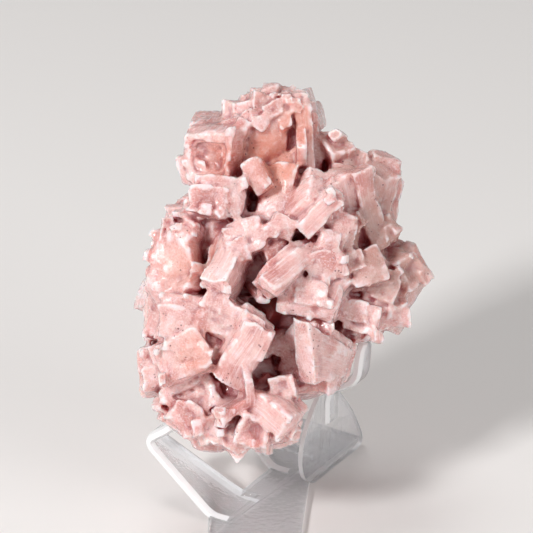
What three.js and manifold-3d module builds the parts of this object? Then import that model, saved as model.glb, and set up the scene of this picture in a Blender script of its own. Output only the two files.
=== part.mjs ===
// A pink halite cluster resting on a clear acrylic stand.
// Millimetres and degrees. +X is the object's right, +Y its back, +Z up.
import * as THREE from "three";
import { mergeVertices } from "three/addons/utils/BufferGeometryUtils.js";
import Module from "manifold-3d";

const wasm = await Module();
wasm.setup();

// Cluster: where its middle stands over the base plate, and how far it leans back.
const leanBack = 25;
const clusterMiddle = [5.2, 3, 60.2];
const stepHeight = 0.8; // rise of a growth step on a crystal's face
const unevenness = 0.1; // how far a crystal's sides are from parallel
const endSlope = 0.22; // steepest slope of an end face
const kinReach = 0.1; // how far a parallel block stands out, as a share of the crystal's width
const stepShares = [0.5, 0.85]; // a growth step's width, as a share of its crystal's
const kinShares = [0.35, 0.6]; // the same for a parallel block
const kinLengths = [0.5, 0.95]; // a parallel block's length, as a share of its crystal's
const hopperShares = [0.72, 0.44]; // the widths of a hollow's two levels, as shares of the end face
const backDepth = 21; // how far the back crystals stand behind the middle
const backSpacing = 11.5; // from one back crystal to the next

// Stand: one clear sheet, cut to shape and bent by heat. Its left fold starts at foldStart, seen from
// above, and runs at foldAzimuth. Places on it are given along that fold, out to its left, and up.
const sheet = 2.4;
const foldStart = [-12.9, -12.4];
const foldAzimuth = 59;
const rightFold = -9.8; // out from the left fold to the right panel's inner face
const bendRadius = 2.6;
const bendSteps = 4;
const tipSteps = 5;
const tipSweep = 78; // how far round a strip's tip goes on each side before its flat end
const cornerShare = 0.45; // most of a side that the rounding of one corner takes up

const plateCorner = 2;
const basePlateCorners = [
  [0, 0],
  [-10, -6],
  [1.5, -24.6],
  [29.7, rightFold - 1],
  [55, rightFold - 1],
  [57, 22],
  [47, 22],
  [46, 0],
];
// The panel's outline: [along, up], closed on its first point.
const panelSteps = 44;
const panelOutline = [
  [31.5, 0],
  [41, 0],
  [51.5, 0],
  [54.6, 1.8],
  [52.2, 7.4],
  [48.7, 13],
  [45.2, 17.4],
  [42, 21],
  [38.6, 24.4],
  [34.6, 24],
  [29.2, 19],
  [25.8, 13.6],
  [24.8, 8],
  [26.6, 3],
  [31.5, 0],
];
// Side views of the bent strips: [out, up, near edge, far edge], from the root to the tip.
const leftArm = [
  [-5, 1.35, 0.4, 15.8],
  [0, 1.35, 0.4, 15.8],
  [20.8, 14.8, 4, 10.8],
  [15.4, 18.8, 4, 10.4],
];
const backArm = [
  [-5, 1.35, 28.9, 42.4],
  [0, 1.35, 28.9, 42.4],
  [9.6, 7, 33.2, 40.6],
  [7.4, 23.2, 34, 40],
];
const rightFinger = [
  [-11, 14, 35.8, 42],
  [-11, 22.6, 35.8, 42],
  [-19.6, 27.4, 35.8, 42],
  [-20.4, 35, 36, 41.8],
];

const degrees = THREE.MathUtils.degToRad;

// Repeatable random numbers from 0 to 1.
function seeded(seed) {
  let state = seed;
  return () => {
    state = (state * 16807) % 2147483647;
    return state / 2147483647;
  };
}

function solidFrom(geometry) {
  const bare = geometry.clone();
  bare.deleteAttribute("normal");
  bare.deleteAttribute("uv");
  const merged = mergeVertices(bare, 1e-4);
  const mesh = new wasm.Mesh({
    numProp: 3,
    vertProperties: new Float32Array(merged.attributes.position.array),
    triVerts: new Uint32Array(merged.index.array),
  });
  return new wasm.Manifold(mesh);
}

function geometryFrom(solid) {
  const mesh = solid.getMesh();
  const geometry = new THREE.BufferGeometry();
  geometry.setAttribute("position", new THREE.BufferAttribute(mesh.vertProperties, 3));
  geometry.setIndex(new THREE.BufferAttribute(mesh.triVerts, 1));
  return geometry;
}

function joined(solids) {
  return solids.reduce((whole, solid) => whole.add(solid));
}

// A crystal's own frame: its length runs from root to tip, its width lies across the front view.
function crystalFrame({ from, to, roll = 0 }) {
  const root = new THREE.Vector3(...from);
  const tip = new THREE.Vector3(...to);
  const length = root.distanceTo(tip);
  const axis = tip.clone().sub(root).normalize();
  const reference = Math.abs(axis.y) > 0.8 ? new THREE.Vector3(0, 0, 1) : new THREE.Vector3(0, 1, 0);
  const side = new THREE.Vector3().crossVectors(axis, reference).normalize();
  const face = new THREE.Vector3().crossVectors(axis, side);
  const frame = new THREE.Matrix4().makeBasis(side, face, axis);
  frame.multiply(new THREE.Matrix4().makeRotationZ(degrees(roll)));
  frame.setPosition(root);
  return { frame, length };
}

// A block in a crystal's frame, standing on z. Its section is a slightly uneven four-sided figure, it
// narrows by the taper towards its tip, and its end face slopes.
function block(frame, [wide, thick, long], [x, y, z], look = {}) {
  const { taper = 1, skew = [0, 0, 0, 0], slope = [0, 0] } = look;
  const geometry = new THREE.BoxGeometry(wide, thick, long);
  const position = geometry.attributes.position;
  for (let i = 0; i < position.count; i++) {
    const right = position.getX(i) > 0;
    const top = position.getY(i) > 0;
    const atTip = position.getZ(i) > 0;
    const across = position.getX(i) * (1 + (top ? skew[0] : skew[1]));
    const upward = position.getY(i) * (1 + (right ? skew[2] : skew[3]));
    const narrowing = atTip ? taper : 1;
    position.setX(i, across * narrowing);
    position.setY(i, upward * narrowing);
    if (atTip) {
      position.setZ(i, position.getZ(i) + slope[0] * across + slope[1] * upward);
    }
  }
  geometry.translate(x, y, z + long / 2);
  geometry.applyMatrix4(frame);
  return solidFrom(geometry);
}

// One crystal: a block with growth steps, smaller blocks grown parallel to it, and a stepped hollow
// in its end face where it has one.
function crystal(spec, random) {
  const { wide, thick, taper = 1, kin = 0, steps = 0, hopper = 0 } = spec;
  const { frame, length } = crystalFrame(spec);
  const spread = (most) => (random() - 0.5) * 2 * most;
  const within = ([least, most]) => least + (most - least) * random();
  const skew = [spread(unevenness), spread(unevenness), spread(unevenness), spread(unevenness)];
  const freeSlope = [spread(endSlope), spread(endSlope)];
  const slope = spec.slope ?? (hopper ? [0, 0] : freeSlope);
  const look = { taper, skew, slope };
  const parts = [block(frame, [wide, thick, length], [0, 0, 0], look)];
  for (let i = 0; i < steps; i++) {
    const share = within(stepShares);
    const rise = stepHeight * (0.7 + 0.6 * random());
    const size = [wide * taper * share, thick * taper * share, length + (hopper ? -1 : rise)];
    const sideways = (wide / 2 + rise - size[0] / 2) * Math.sign(random() - 0.5);
    const upward = (thick / 2 + rise - size[1] / 2) * Math.sign(random() - 0.5);
    parts.push(block(frame, size, [sideways, upward, 0], { slope }));
  }
  for (let i = 0; i < kin; i++) {
    const share = within(kinShares);
    const size = [wide * share, thick * share, length * within(kinLengths)];
    const angle = 2 * Math.PI * random();
    const sideways = Math.cos(angle) * wide * (0.5 + kinReach - share / 2);
    const upward = Math.sin(angle) * thick * (0.5 + kinReach - share / 2);
    parts.push(block(frame, size, [sideways, upward, length * 0.1], { slope: [spread(endSlope), 0] }));
  }
  const grown = joined(parts);
  if (!hopper) {
    return grown;
  }
  return hopperShares.reduce((left, share, level) => {
    const floor = length - (hopper * (level + 1)) / hopperShares.length;
    const cut = block(frame, [wide * share, thick * share, hopper + 2], [0, 0, floor], { skew });
    return left.subtract(cut);
  }, grown);
}

// The mass behind the crystals that show.
const massBlocks = [
  { from: [-6, 18, 2], to: [-9, -8, 1], wide: 34, thick: 32, roll: 4 },
  { from: [-4, 16, 27], to: [-6, -2, 28], wide: 20, thick: 22, roll: -6 },
  { from: [13, 18, 1], to: [14, 0, 1], wide: 22, thick: 24, roll: 12 },
  { from: [-13, 17, -19], to: [-16, -6, -20], wide: 24, thick: 24, roll: 8 },
  { from: [-2, 18, -19], to: [-3, -4, -19], wide: 22, thick: 18, roll: -8 },
  { from: [-10, 16, -30], to: [-12, -5, -32], wide: 18, thick: 11, roll: 12 },
  { from: [11, 16, 18], to: [11, 5, 19], wide: 14, thick: 13, roll: 20 },
];

// Deep dark hollows between the crystals.
const hollows = [
  { name: "middle hollow", from: [-5, 0, -9], to: [-5, -30, -9], wide: 9, thick: 8, roll: 20 },
  { name: "lower hollow", from: [-4.5, -1, -24.5], to: [-4.5, -30, -24.5], wide: 7, thick: 7, roll: 0 },
  { name: "upper right hollow", from: [10, 4, 26], to: [9, -20, 28], wide: 5, thick: 9, roll: -25 },
  { name: "knob hollow", from: [-6, -4, 16], to: [-6, -20, 15], wide: 5.5, thick: 3, roll: 0 },
  { name: "prism hollow", from: [4, -4, 8.4], to: [4, -20, 8.4], wide: 3, thick: 2.4, roll: -20 },
];

// The crystals of the front, one by one, from the top down.
const frontCrystals = [
  { name: "crown", from: [-3.5, 2, 34], to: [-3.2, 0, 42], wide: 6.4, thick: 8, roll: 12 },
  { name: "crown left", from: [-8.4, 2, 32], to: [-9, -2, 38.6], wide: 5.4, thick: 7.4, roll: 25 },
  { name: "crown slab", from: [1.5, 0, 33], to: [2.4, -5, 41], wide: 3.4, thick: 4.6, roll: 8 },
  { name: "column", from: [5, 0, 23], to: [4.6, -3, 40.6], wide: 4.2, thick: 6, roll: 8, kin: 1 },
  { name: "column block", from: [4, -2, 26], to: [4, -7, 31], wide: 2.6, thick: 6, roll: 0 },
  { name: "smooth mass", from: [-5, 4, 29], to: [-5.6, -6.5, 29.6], wide: 10, thick: 13, roll: -12 },
  { name: "smooth foot", from: [-1.5, 2, 17], to: [-1.8, -9, 18], wide: 7, thick: 14, roll: -14 },
  { name: "hopper cube", from: [-14, 1, 30], to: [-17.6, -11.5, 26.6], wide: 12.4, thick: 12.5, roll: -6,
    hopper: 4, kin: 1, steps: 1 },
  { name: "hopper top", from: [-14, 2, 31.6], to: [-15, -7, 33.4], wide: 8.4, thick: 3.6, roll: 14 },
  { name: "block below it", from: [-14, 2, 16.8], to: [-15.2, -14, 17.6], wide: 11, thick: 8, roll: -10,
    kin: 2, steps: 1 },
  { name: "left notch", from: [-19, 0, 14.5], to: [-21, -9, 15], wide: 4.6, thick: 5, roll: 20, kin: 1 },
  { name: "knob", from: [-5.5, -2, 21.5], to: [-6, -14.5, 22], wide: 4.2, thick: 6.4, roll: 30, kin: 1 },
  { name: "gap back", from: [9, 8, 27], to: [9.2, 2, 31.4], wide: 3.4, thick: 4, roll: 0 },
  { name: "rounded", from: [12, 8, 25], to: [12.6, 1, 29.6], wide: 5.4, thick: 5.6, roll: 25, kin: 1 },
  { name: "rounded right", from: [16.6, 10, 22.5], to: [16.8, 2, 25.8], wide: 5, thick: 5.6, roll: -15,
    kin: 1 },
  { name: "far cuboid", from: [19.4, 9, 13.4], to: [23.2, 3, 25], wide: 8.4, thick: 9, roll: 22,
    steps: 1 },
  { name: "tall", from: [16.5, 3, 7], to: [13, -8, 23], wide: 11, thick: 9, roll: 28, taper: 0.8,
    steps: 1 },
  { name: "tall right", from: [19, 5, 6], to: [18, -4, 20], wide: 5.4, thick: 6, roll: 12, kin: 1 },
  { name: "striated hopper", from: [1.8, -5, 11], to: [9.6, -13.5, 17.8], wide: 8.2, thick: 8, roll: 30,
    steps: 1 },
  { name: "white edged", from: [4.4, -12, 9.4], to: [12.4, -16.5, 17.6], wide: 4.8, thick: 4.8,
    roll: 15, hopper: 2 },
  { name: "centre", from: [-8, -2, 6.5], to: [-9, -15.5, 8.5], wide: 8, thick: 9, roll: 15, kin: 1,
    steps: 1 },
  { name: "centre right", from: [-1, -2, 8.5], to: [-0.6, -15, 10], wide: 5.6, thick: 5.6, roll: -25,
    kin: 1, steps: 1 },
  { name: "shoulder", from: [11, 0, 8], to: [13.4, -12, 8.6], wide: 7.4, thick: 7.6, roll: -15, kin: 1,
    steps: 1 },
  { name: "left peach", from: [-19.6, 3, 1.6], to: [-27, -12, 1.8], wide: 10.4, thick: 13, roll: -4,
    steps: 1 },
  { name: "left peach top", from: [-19.5, 2, 7], to: [-25, -11, 8.4], wide: 8, thick: 8, roll: -22,
    kin: 1 },
  { name: "left crest", from: [-25, 2, 4], to: [-28.6, -7, 4.4], wide: 5, thick: 6, roll: 30, kin: 1 },
  { name: "striated", from: [-11.4, -12, 7], to: [-16, -20, -4], wide: 5.2, thick: 5, roll: 20,
    steps: 1 },
  { name: "smooth prism", from: [6.5, -9, 4.2], to: [-5.2, -19, -3.2], wide: 5.6, thick: 5.8, roll: 18,
    steps: 1 },
  { name: "broad left", from: [-27, 3, -8.5], to: [-30.4, -10, -9], wide: 6.4, thick: 11.5, roll: 4,
    kin: 1, steps: 1 },
  { name: "broad", from: [-20.6, 2, -9], to: [-23.4, -17, -11.4], wide: 10.6, thick: 9.6, roll: -10,
    steps: 1, kin: 1 },
  { name: "broad right", from: [-13.4, 1, -11], to: [-14.4, -17.5, -11.6], wide: 8.6, thick: 8.6,
    roll: -28,
    steps: 1, kin: 1 },
  { name: "web low", from: [-9, -6, -2.4], to: [-4.8, -15, -7.2], wide: 3, thick: 1.7, roll: 0 },
  { name: "web high", from: [-1.6, -6, -3], to: [-6, -15, -6.2], wide: 1.7, thick: 4, roll: 0 },
  { name: "hollow inner", from: [-7, 2, -12], to: [-6.4, -7, -11], wide: 3.4, thick: 3.4, roll: 30 },
  { name: "long striated", from: [-13, -11, -25], to: [-5.4, -18.5, -12.4], wide: 7.6, thick: 7,
    roll: 12, steps: 1 },
  { name: "speckled", from: [5, 0, -5], to: [3.6, -15, -6.6], wide: 11.4, thick: 7.6, roll: -12,
    steps: 1 },
  { name: "slanted prism", from: [15, -4, -0.5], to: [9, -14.5, -10], wide: 5.2, thick: 5.6, roll: 10,
    kin: 1 },
  { name: "white patch", from: [10, -2, 1.6], to: [10.6, -13, 1], wide: 7.4, thick: 6.6, roll: 20,
    kin: 1, steps: 1 },
  { name: "great", from: [15.2, -3, -22], to: [4.6, -16, -19], wide: 6, thick: 2.4, taper: 2.35,
    slope: [-1.45, 0] },
  { name: "great back", from: [6.4, 4, -19], to: [7, -6.5, -20], wide: 11, thick: 11.5, roll: -24,
    steps: 1 },
  { name: "blade", from: [-8.4, -11, -31], to: [-8.2, -18, -23], wide: 1.9, thick: 7, roll: 4 },
  { name: "low striated", from: [-9, -9, -29.4], to: [2, -18, -36.6], wide: 6.4, thick: 6.2, roll: 25,
    steps: 1 },
  { name: "low branch", from: [-8, -11, -30.4], to: [-15.6, -15.5, -34], wide: 2.6, thick: 6, roll: -15 },
  { name: "low inner", from: [-5, 0, -27.5], to: [-4.2, -9, -25.6], wide: 3, thick: 3, roll: 30 },
  { name: "low side", from: [0, -3, -27.4], to: [-0.6, -14, -27.8], wide: 5.6, thick: 6, roll: 12 },
  { name: "left bright rim", from: [-27, 3, -22.5], to: [-30, -8, -23.4], wide: 5.6, thick: 9, roll: 8,
    kin: 1, steps: 1 },
  { name: "left bright", from: [-21.6, 3, -19.6], to: [-24, -17, -21], wide: 12, thick: 8.8, roll: 25,
    steps: 1, kin: 1 },
  { name: "bright side", from: [-17, 0, -20.6], to: [-17.4, -14, -21], wide: 5.6, thick: 6.6, roll: 10 },
  { name: "deep pink", from: [-21, 5, -30], to: [-21.6, -10, -30.4], wide: 12, thick: 7.6, roll: 20,
    hopper: 3, steps: 1 },
  { name: "low left", from: [-21.6, 3, -34], to: [-23, -11.5, -35], wide: 8.6, thick: 6.6, roll: -38,
    kin: 1 },
  { name: "low left foot", from: [-17.8, 2, -36.8], to: [-18.2, -12.5, -38.2], wide: 6.8, thick: 6.8,
    roll: 10,
    kin: 1, steps: 1 },
  { name: "pointed foot", from: [-11.4, 2, -37.6], to: [-11.8, -12, -38.8], wide: 7.4, thick: 7.4,
    roll: 43 },
  { name: "foot hopper", from: [-8, -3, -36.2], to: [-7.2, -16, -37.6], wide: 7.6, thick: 6, roll: -15,
    hopper: 2.4 },
  { name: "foot right", from: [-1.4, 0, -36.4], to: [-1.2, -12.5, -38], wide: 5.2, thick: 5.4, roll: 15,
    kin: 1 },
  { name: "foot small", from: [-5, 0, -39], to: [-5, -9, -40.4], wide: 3.4, thick: 3.4, roll: 30 },
  { name: "right middle", from: [18, 4, 0], to: [20, -8, 0.6], wide: 8.2, thick: 8.2, roll: 20, kin: 1,
    steps: 1 },
  { name: "right upper", from: [18.6, 8, 8], to: [23.6, -1, 8.6], wide: 6.8, thick: 6.4, roll: 22,
    kin: 1 },
  { name: "right corner", from: [22.6, 9, 1], to: [30.6, 1, -0.6], wide: 7.2, thick: 7.2, roll: 38,
    steps: 1 },
  { name: "right low", from: [21.6, 8, -7], to: [25.2, -1, -9.2], wide: 7.4, thick: 8.6, roll: 10,
    kin: 1, steps: 1 },
  { name: "right inner", from: [22, 6, -4], to: [24, -4, -3.6], wide: 6.6, thick: 6.6, roll: -20,
    kin: 1 },
  { name: "right foot", from: [18.6, 5, -10.4], to: [18.2, -6, -11.4], wide: 9.4, thick: 6, roll: -10,
    kin: 1, steps: 1 },
  { name: "left heel", from: [-4, 10, -20], to: [-5.6, 30.4, -23.4], wide: 11, thick: 9.5, roll: 12,
    kin: 1 },
  { name: "right heel", from: [4, 6, -19], to: [7.6, 25.4, -20.8], wide: 8, thick: 8.6, roll: 24 },
  { name: "finger heel", from: [18, 4, -8], to: [18.6, 17, -13.4], wide: 7.4, thick: 4.6, roll: -6 },
  { name: "right under", from: [17.2, 12, -12.4], to: [17, 0, -15], wide: 5.4, thick: 4.6, roll: 8 },
];

// Small knobs along the crown and the rims: the middle of each and its size.
const knobs = [
  [-3.3, 0, 42.2, 4.8],
  [-6, -3, 40, 4.2],
  [-9.6, -2, 38.6, 4],
  [-8, -6, 36.2, 4],
  [-11.8, -4, 35.4, 3],
  [-3, -5.5, 37.4, 4.6],
  [-5.5, -7, 34.4, 3.4],
  [1.8, -4.6, 39, 3.6],
  [4.4, -3, 40.4, 3],
  [0.2, -6, 35, 3.2],
  [-10, -8, 33.6, 3.4],
  [-20, -8, 14.2, 2.8],
  [-30.4, -6, 6.6, 2.8],
  [-28.4, -9, 9.6, 3],
  [-32, -4, -3.4, 2.8],
  [-32.6, -4, -18.4, 2.6],
  [-31.6, -5, -27, 2.8],
  [-28.6, -7, -32, 2.8],
  [-24, -10, -38, 2.6],
  [26.4, 1, 9.6, 3],
  [12.4, 0, 31.2, 2.6],
  [24, 2, -13.4, 3],
];

// Rows of crystals on the back: height, and the leftmost and rightmost place in the row.
const backRows = [
  [37, -7, 2],
  [28, -15, 7],
  [19, -16, 17],
  [10, -17, 18],
  [1, -25, 24],
  [-8, -27, 22],
  [-17, -27, 10],
  [-26, -24, 4],
  [-34, -18, -4],
];

function backCrystals(random) {
  const specs = [];
  for (const [height, left, right] of backRows) {
    const count = Math.round((right - left) / backSpacing) + 1;
    for (let i = 0; i < count; i++) {
      const x = left + ((right - left) * i) / Math.max(count - 1, 1);
      const outward = (x - (left + right) / 2) / 45;
      const depth = backDepth * Math.sqrt(Math.max(1 - (x / 46) ** 2 - (height / 56) ** 2, 0.2));
      const size = 7 + 4 * random();
      const reach = depth + 4 * random();
      const tipX = x + outward * 3 + (random() - 0.5) * 2;
      const tipZ = height + (random() - 0.5) * 4;
      specs.push({
        from: [x - outward * 6, 4, height],
        to: [tipX, reach, tipZ],
        wide: size,
        thick: size * (0.75 + 0.35 * random()),
        roll: (random() - 0.5) * 80,
        hopper: random() < 0.3 ? 2.5 : 0,
        kin: random() < 0.25 ? 1 : 0,
        steps: random() < 0.25 ? 1 : 0,
      });
    }
  }
  return specs;
}

function knobCrystals(random) {
  return knobs.map(([x, y, z, size]) => {
    const lean = new THREE.Vector3(random() - 0.5, -0.6 - random(), random() - 0.5).setLength(size * 0.8);
    return {
      from: [x - lean.x, y - lean.y, z - lean.z],
      to: [x + lean.x * 0.6, y + lean.y * 0.6, z + lean.z * 0.6],
      wide: size,
      thick: size * (0.8 + 0.3 * random()),
      roll: 90 * random(),
    };
  });
}

function haliteCluster() {
  const random = seeded(7);
  const mass = joined(massBlocks.map((spec) => crystal(spec, random)));
  const voids = joined(hollows.map((spec) => crystal(spec, random)));
  const front = joined(frontCrystals.map((spec) => crystal(spec, random)));
  const small = joined(knobCrystals(random).map((spec) => crystal(spec, random)));
  const back = joined(backCrystals(random).map((spec) => crystal(spec, random)));
  const whole = mass.subtract(voids).add(front).add(small).add(back);
  const bodies = whole.decompose().sort((a, b) => b.volume() - a.volume());
  const material = new THREE.MeshStandardMaterial({ color: "#e3a9a0", roughness: 0.35, metalness: 0 });
  const mesh = new THREE.Mesh(geometryFrom(bodies[0]), material);
  mesh.name = "halite_cluster";
  mesh.position.set(...clusterMiddle);
  mesh.rotation.x = degrees(-leanBack);
  return mesh;
}

// A point of the stand, from its place along the left fold, out from it and up.
function standPoint(along, out, up) {
  const angle = degrees(foldAzimuth);
  const x = foldStart[0] + along * Math.cos(angle) - out * Math.sin(angle);
  const y = foldStart[1] + along * Math.sin(angle) + out * Math.cos(angle);
  return new THREE.Vector3(x, y, up);
}

// Rounds the corners of a strip's side view. Each station is [out, up, near edge, far edge].
function roundedStations(stations) {
  const rounded = [stations[0]];
  for (let i = 1; i < stations.length - 1; i++) {
    const here = stations[i];
    const ends = [stations[i - 1], stations[i + 1]].map((other) => {
      const reach = Math.hypot(other[0] - here[0], other[1] - here[1]);
      const share = Math.min(bendRadius / reach, cornerShare);
      return here.map((value, k) => value + (other[k] - value) * share);
    });
    for (let step = 0; step <= bendSteps; step++) {
      const t = step / bendSteps;
      const weights = [(1 - t) ** 2, 2 * t * (1 - t), t ** 2];
      const blend = (value, k) => weights[0] * ends[0][k] + weights[1] * value + weights[2] * ends[1][k];
      rounded.push(here.map(blend));
    }
  }
  rounded.push(stations[stations.length - 1]);
  return rounded;
}

// Adds the half-round tip of a strip that carries on in the direction of its last stretch.
function withRoundTip(stations) {
  const [before, last] = stations.slice(-2);
  const half = (last[3] - last[2]) / 2;
  const middle = (last[3] + last[2]) / 2;
  const stretch = Math.hypot(last[0] - before[0], last[1] - before[1]);
  const tip = [];
  for (let step = 1; step <= tipSteps; step++) {
    const angle = (step / tipSteps) * degrees(tipSweep);
    const forward = half * Math.sin(angle);
    const out = last[0] + ((last[0] - before[0]) / stretch) * forward;
    const up = last[1] + ((last[1] - before[1]) / stretch) * forward;
    tip.push([out, up, middle - half * Math.cos(angle), middle + half * Math.cos(angle)]);
  }
  return [...stations, ...tip];
}

// A bent strip of the sheet: four corners at each station, closed at both ends.
function bentStrip(path) {
  const stations = withRoundTip(roundedStations(path));
  const corners = [];
  stations.forEach(([out, up, near, far], i) => {
    const previous = stations[Math.max(i - 1, 0)];
    const next = stations[Math.min(i + 1, stations.length - 1)];
    const run = Math.hypot(next[0] - previous[0], next[1] - previous[1]);
    const aside = ((previous[1] - next[1]) / run) * (sheet / 2);
    const above = ((next[0] - previous[0]) / run) * (sheet / 2);
    corners.push(standPoint(near, out - aside, up - above));
    corners.push(standPoint(far, out - aside, up - above));
    corners.push(standPoint(far, out + aside, up + above));
    corners.push(standPoint(near, out + aside, up + above));
  });
  const faces = [0, 1, 2, 0, 2, 3];
  for (let i = 0; i < stations.length - 1; i++) {
    for (let side = 0; side < 4; side++) {
      const a = 4 * i + side;
      const b = 4 * i + ((side + 1) % 4);
      faces.push(a, a + 4, b, b, a + 4, b + 4);
    }
  }
  const end = 4 * (stations.length - 1);
  faces.push(end, end + 2, end + 1, end, end + 3, end + 2);
  const geometry = new THREE.BufferGeometry().setFromPoints(corners);
  geometry.setIndex(faces);
  return solidFrom(geometry);
}

// The part of the sheet that lies flat under the folds. Corners are [along, out].
function basePlate() {
  const corners = basePlateCorners.map(([along, out]) => standPoint(along, out, 0));
  const shape = new THREE.Shape();
  corners.forEach((corner, i) => {
    const before = corners[(i + corners.length - 1) % corners.length];
    const after = corners[(i + 1) % corners.length];
    const startShare = Math.min(plateCorner / corner.distanceTo(before), cornerShare);
    const endShare = Math.min(plateCorner / corner.distanceTo(after), cornerShare);
    const start = corner.clone().lerp(before, startShare);
    const end = corner.clone().lerp(after, endShare);
    if (i === 0) {
      shape.moveTo(start.x, start.y);
    } else {
      shape.lineTo(start.x, start.y);
    }
    shape.quadraticCurveTo(corner.x, corner.y, end.x, end.y);
  });
  shape.closePath();
  const extrusion = { depth: sheet, bevelEnabled: false, curveSegments: 4 };
  return solidFrom(new THREE.ExtrudeGeometry(shape, extrusion));
}

// The upright panel on the right, cut to a rounded outline and standing on its lower edge.
function rightPanel() {
  const outline = new THREE.SplineCurve(panelOutline.map(([along, up]) => new THREE.Vector2(along, up)));
  const points = outline.getPoints(panelSteps);
  points.forEach((point) => {
    point.y = Math.max(point.y, 0);
  });
  const shape = new THREE.Shape(points.slice(0, -1));
  const geometry = new THREE.ExtrudeGeometry(shape, { depth: sheet, bevelEnabled: false });
  const position = geometry.attributes.position;
  for (let i = 0; i < position.count; i++) {
    const out = rightFold - position.getZ(i);
    const placed = standPoint(position.getX(i), out, position.getY(i));
    position.setXYZ(i, placed.x, placed.y, placed.z);
  }
  return solidFrom(geometry);
}

function acrylicStand() {
  const arms = [leftArm, backArm, rightFinger].map(bentStrip);
  const whole = joined([basePlate(), rightPanel(), ...arms]);
  const material = new THREE.MeshStandardMaterial({ color: "#dfe6ee", roughness: 0.05, metalness: 0 });
  const mesh = new THREE.Mesh(geometryFrom(whole), material);
  mesh.name = "acrylic_stand";
  return mesh;
}

const group = new THREE.Group();
group.add(haliteCluster());
group.add(acrylicStand());

// The origin is under the middle of the whole object, on the surface that it stands on.
const wholeBox = new THREE.Box3().setFromObject(group);
const middle = wholeBox.getCenter(new THREE.Vector3());
group.position.set(-middle.x, -middle.y, -wholeBox.min.z);

export default group;
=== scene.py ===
import math
import bpy
import bmesh
import numpy as np
from mathutils import Matrix, Vector
from mathutils.bvhtree import BVHTree


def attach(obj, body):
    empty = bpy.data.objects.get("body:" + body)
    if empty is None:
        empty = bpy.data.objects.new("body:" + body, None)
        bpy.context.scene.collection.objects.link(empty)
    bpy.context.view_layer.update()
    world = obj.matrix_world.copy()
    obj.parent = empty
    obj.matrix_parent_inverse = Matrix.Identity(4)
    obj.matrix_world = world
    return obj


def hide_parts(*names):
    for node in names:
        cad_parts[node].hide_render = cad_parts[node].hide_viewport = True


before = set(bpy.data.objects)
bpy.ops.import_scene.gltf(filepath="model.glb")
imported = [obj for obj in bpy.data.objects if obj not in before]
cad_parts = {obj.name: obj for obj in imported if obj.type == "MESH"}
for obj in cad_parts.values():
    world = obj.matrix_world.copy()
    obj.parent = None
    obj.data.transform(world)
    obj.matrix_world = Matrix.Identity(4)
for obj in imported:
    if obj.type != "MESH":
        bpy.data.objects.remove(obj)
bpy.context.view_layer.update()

mm = 0.001

# the cluster's own frame, in mm: its middle stands here over the stand, and it leans back
clusterPlace = {
    "middle": (0.27, -4.38, 60.2),
    "leanBack": 25,
}
clusterMatrix = Matrix.Translation(clusterPlace["middle"]) @ Matrix.Rotation(
    math.radians(-clusterPlace["leanBack"]), 4, "X")

print("frame loaded")


def seeded(seed):
    # repeatable random numbers from 0 to 1
    multiplier, modulus = 16807, 2147483647
    state = seed

    def draw():
        nonlocal state
        state = (state * multiplier) % modulus
        return state / modulus

    return draw


def cellNoise(cell, seed):
    # one repeatable value from 0 to 1 for each whole-numbered cell
    primes = (73856093, 19349663, 83492791)
    seedPrime, mixPrime, largest = 2654435761, 1274126177, 0x7FFFFFFF
    mixed = cell[..., 0] * primes[0] ^ cell[..., 1] * primes[1] ^ cell[..., 2] * primes[2] ^ seed * seedPrime
    mixed = (mixed ^ (mixed >> 13)) * mixPrime
    mixed = (mixed ^ (mixed >> 16)) & largest
    return mixed / largest


def softNoise(points, size, seed):
    # smooth noise from 0 to 1; size is its grain, or its grain along each axis
    grid = np.asarray(points) / np.asarray(size)
    base = np.floor(grid).astype(np.int64)
    part = grid - base
    part = part * part * (3 - 2 * part)
    total = np.zeros(len(grid))
    for corner in np.ndindex(2, 2, 2):
        step = np.array(corner)
        weight = np.prod(np.where(step == 1, part, 1 - part), axis=1)
        total += weight * cellNoise(base + step, seed)
    return total


def smoothStep(low, high, value):
    share = np.clip((value - low) / (high - low), 0, 1)
    return share * share * (3 - 2 * share)


def pick(limits, share):
    # the value this share of the way from the first limit to the second
    return limits[0] + (limits[1] - limits[0]) * share


def readVectors(items, key):
    # one row of three numbers for each vertex or face
    values = np.empty(len(items) * 3)
    items.foreach_get(key, values)
    return values.reshape(-1, 3)


def paint(piece, name, domain, values):
    # an attribute that the material reads, of one number or three for each point or corner
    kind, key = ("FLOAT", "value") if values.ndim == 1 else ("FLOAT_VECTOR", "vector")
    layer = piece.data.attributes.new(name, kind, domain)
    layer.data.foreach_set(key, values.ravel())


def applyStep(piece, kind, settings):
    step = piece.modifiers.new("step", kind)
    for name, value in settings.items():
        setattr(step, name, value)
    bpy.context.view_layer.objects.active = piece
    bpy.ops.object.modifier_apply(modifier=step.name)


def smoothByAngle(piece, degrees):
    bpy.ops.object.select_all(action="DESELECT")
    piece.select_set(True)
    bpy.context.view_layer.objects.active = piece
    bpy.ops.object.shade_smooth_by_angle(angle=math.radians(degrees))


# how a crystal grows: lengths in mm, the rest as shares of the crystal's own size
growth = {
    "stepHeight": 0.8,
    "stepSpread": (0.7, 1.3),
    "stepShares": (0.5, 0.85),
    "hopperInset": 1,
    "unevenness": 0.1,
    "endSlope": 0.22,
    "kinReach": 0.1,
    "kinStart": 0.1,
    "kinShares": (0.35, 0.6),
    "kinLengths": (0.5, 0.95),
}


def crystal(name, root, tip, wide, thick, roll, **more):
    # a crystal, a block of mass or a hollow: it runs from its root to its tip, turned by roll degrees
    return dict(name=name, root=root, tip=tip, wide=wide, thick=thick, roll=roll, **more)


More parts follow.
